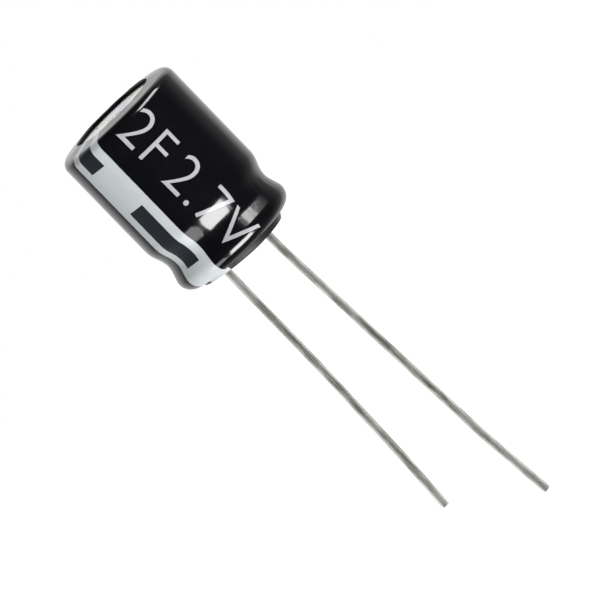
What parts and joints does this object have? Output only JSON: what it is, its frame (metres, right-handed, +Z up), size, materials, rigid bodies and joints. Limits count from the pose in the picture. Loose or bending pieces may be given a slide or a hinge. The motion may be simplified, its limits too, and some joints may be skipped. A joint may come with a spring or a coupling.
{
  "type": "supercapacitor",
  "caption": "Radial-lead double-layer capacitor: round grooved can in a black shrunk sleeve with a pale minus stripe, and two long wire leads.",
  "frame": {"origin": "on the can's axis, in the plane of the sleeve's lower edge, which meets the circuit board", "axes": "+Z up along the can's axis, leads down along -Z, +X from the axis towards the anode (longer) lead"},
  "size_m": [0.0104, 0.0104, 0.0414],
  "materials": {
    "sleeve_film": "glossy heat-shrunk film",
    "aluminium_can": "bright drawn aluminium",
    "seal_rubber": "matt moulded rubber",
    "tinned_wire": "drawn tinned wire",
    "tab_aluminium": "pressed, satin",
    "carbon_coating": "matt carbon coating on foil",
    "separator_paper": "thin matt paper",
    "tape_film": "clear yellowish film"
  },
  "bodies": {
    "root": {"sleeve": "sleeve_film", "can": "aluminium_can", "end_seal": "seal_rubber", "anode_lead": "tinned_wire", "cathode_lead": "tinned_wire", "anode_tab": "tab_aluminium", "cathode_tab": "tab_aluminium", "anode_electrode": "carbon_coating", "cathode_electrode": "carbon_coating", "inner_separator": "separator_paper", "outer_separator": "separator_paper", "winding_tape": "tape_film"}
  },
  "joints": []
}
